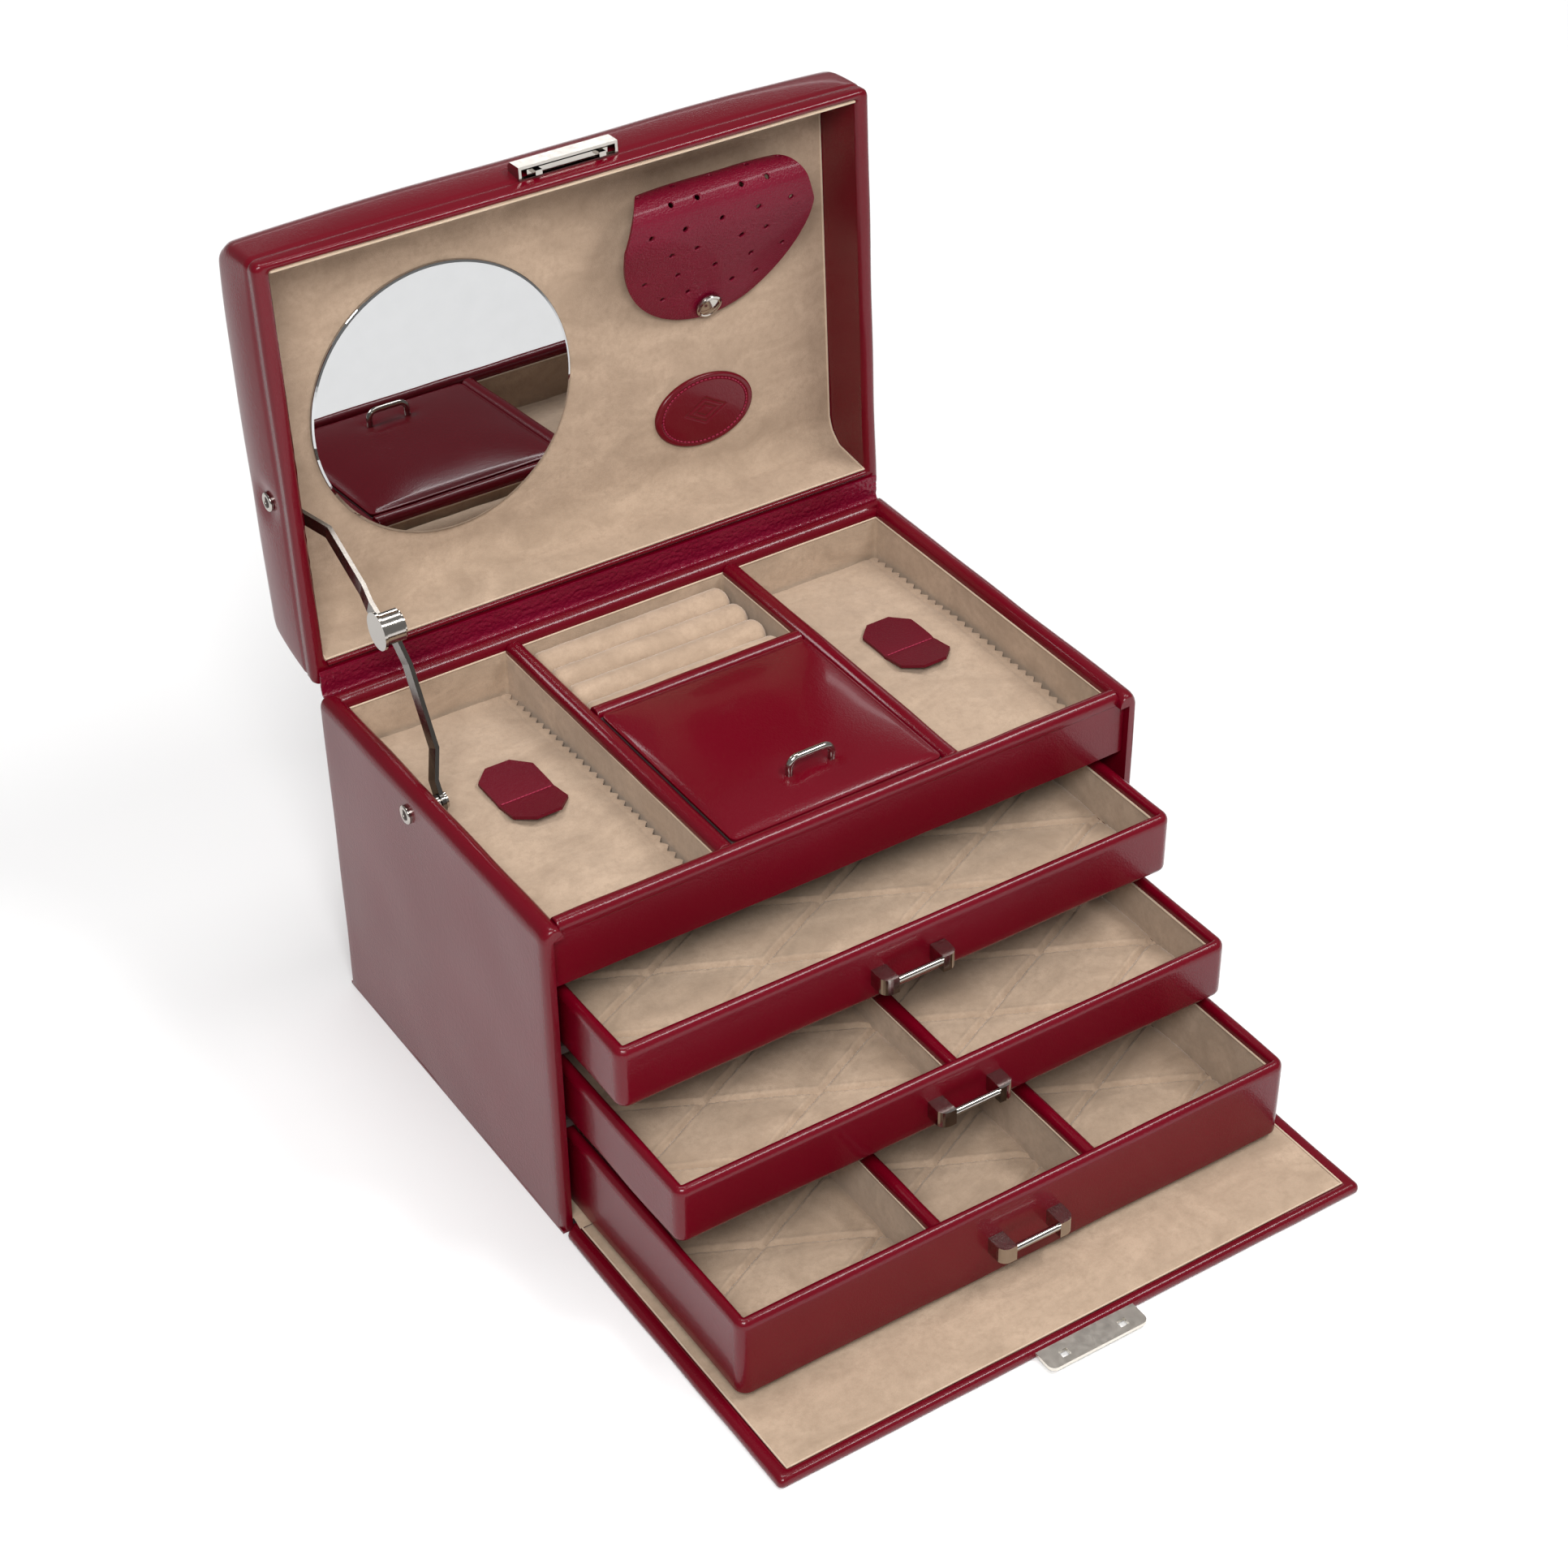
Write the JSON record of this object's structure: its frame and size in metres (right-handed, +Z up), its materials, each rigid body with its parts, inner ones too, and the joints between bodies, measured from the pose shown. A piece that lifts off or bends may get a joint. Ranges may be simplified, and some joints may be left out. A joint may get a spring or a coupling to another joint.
{
  "type": "jewellery case",
  "caption": "Leather jewellery case with a fold-down front, stepped drawers, divided tray, padded inner lid, mirror lid and folding stay.",
  "frame": {"origin": "centre of the case body's footprint, on the surface that it stands on", "axes": "+Z up, -Y out of the front where the drawers and the flap are, +X to the right seen from the front"},
  "size_m": [0.281, 0.4055, 0.3499],
  "materials": {
    "leather": "smooth crimson leather with a soft gloss",
    "suede": "beige velvety suede lining",
    "cover_cloth": "loose beige suede cloth with pinked edges",
    "metal": "polished nickel plate",
    "mirror": "silvered glass with a ground edge",
    "board": "stiff grey-brown board, covered",
    "padding": "soft foam padding, covered"
  },
  "bodies": {
    "case": {"base_cover": "leather", "base_board": "board", "floor_lining": "suede", "side_wall_boards": "board", "side_wall_leather": "leather", "back_wall_board": "board", "back_wall_leather": "leather", "tray_floor": "board", "tray_frame": "board", "tray_front": "leather", "long_dividers": "leather", "cross_divider": "leather", "tray_linings": "suede", "ring_rolls": "suede", "inner_lid_ledges": "suede", "drawer_shelves": "board", "drawer_guides": "board", "stay_body_rivet": "metal", "lid_hinge_strip": "leather", "flap_hinge_strip": "suede"},
    "lid": {"lid_frame": "board", "lid_top_board": "board", "lid_padding": "padding", "lid_leather": "leather", "lid_lining": "suede", "lid_mirror": "mirror", "lid_badge": "leather", "earring_backing": "leather", "earring_snap_stud": "metal", "lock_case": "metal", "stay_lid_rivet": "metal"},
    "earring_flap": {"earring_flap": "leather", "earring_snap_cap": "metal"},
    "lock_latch": {"lock_latch": "metal"},
    "stay_lower": {"stay_lower_arm": "metal", "stay_elbow_cover": "metal"},
    "stay_upper": {"stay_upper_arm": "metal"},
    "drawer_1": {"drawer_1_box": "leather", "drawer_1_lining": "suede", "drawer_1_pull": "metal"},
    "drawer_2": {"drawer_2_box": "leather", "drawer_2_lining": "suede", "drawer_2_divider": "leather", "drawer_2_pull": "metal"},
    "drawer_3": {"drawer_3_box": "leather", "drawer_3_lining": "suede", "drawer_3_dividers": "leather", "drawer_3_pull": "metal"},
    "flap": {"flap_board": "board", "flap_leather": "leather", "flap_lining": "suede", "lock_plate": "metal"},
    "inner_lid": {"inner_lid_board": "board", "inner_lid_pad": "leather", "inner_lid_handle": "metal", "inner_lid_pins": "metal"},
    "left_cover": {"left_cover_cloth": "cover_cloth", "left_cover_tab": "leather"},
    "right_cover": {"right_cover_cloth": "cover_cloth", "right_cover_tab": "leather"}
  },
  "joints": [
    {"name": "lid_hinge", "type": "hinge", "parent": "case", "child": "lid", "pos_m": [0, 0.0945, 0.156], "axis": [1, 0, 0], "range_deg": [0, 93], "deforming": ["lid_hinge_strip"]},
    {"name": "lid_stay_lower", "type": "hinge", "parent": "case", "child": "stay_lower", "pos_m": [-0.1253, 0.0156, 0.1425], "axis": [1, 0, 0], "range_deg": [0, 109.12]},
    {"name": "lid_stay_elbow", "type": "hinge", "parent": "stay_lower", "child": "stay_upper", "pos_m": [-0.126, 0.0511, 0.2051], "axis": [1, 0, 0], "range_deg": [-118.99, 0]},
    {"name": "earring_flap_hinge", "type": "hinge", "parent": "lid", "child": "earring_flap", "pos_m": [0.0702, 0.11869, 0.30794], "axis": [1, 0, 0], "range_deg": [-100, 0]},
    {"name": "lock_latch_slide", "type": "slide", "parent": "lid", "child": "lock_latch", "axis": [1, 0, 0], "range_m": [-0.0028, 0.0028], "stiffness_N_per_m": 60},
    {"name": "drawer_1_slide", "type": "slide", "parent": "case", "child": "drawer_1", "axis": [0, 1, 0], "range_m": [-0.081, 0.0479]},
    {"name": "drawer_2_slide", "type": "slide", "parent": "case", "child": "drawer_2", "axis": [0, 1, 0], "range_m": [-0.0416, 0.0873]},
    {"name": "drawer_3_slide", "type": "slide", "parent": "case", "child": "drawer_3", "axis": [0, 1, 0], "range_m": [0, 0.1289]},
    {"name": "flap_hinge", "type": "hinge", "parent": "case", "child": "flap", "pos_m": [0, -0.0965, 0.0021], "axis": [-1, 0, 0], "range_deg": [0, 1.4], "deforming": ["flap_hinge_strip"]},
    {"name": "inner_lid_hinge", "type": "hinge", "parent": "case", "child": "inner_lid", "pos_m": [0, 0.0112, 0.1496], "axis": [1, 0, 0], "range_deg": [-95, 0]},
    {"name": "left_cover_lift", "type": "hinge", "parent": "case", "child": "left_cover", "pos_m": [-0.088, 0.0818, 0.1305], "axis": [1, 0, 0], "range_deg": [-25, 0]},
    {"name": "right_cover_lift", "type": "hinge", "parent": "case", "child": "right_cover", "pos_m": [0.094, 0.0818, 0.1305], "axis": [1, 0, 0], "range_deg": [-80, 0]}
  ],
  "couplings": [
    {"joint": "lid_stay_lower", "follows": "lid_hinge", "ratio": 1.1712},
    {"joint": "lid_stay_elbow", "follows": "lid_hinge", "ratio": -1.2773}
  ]
}
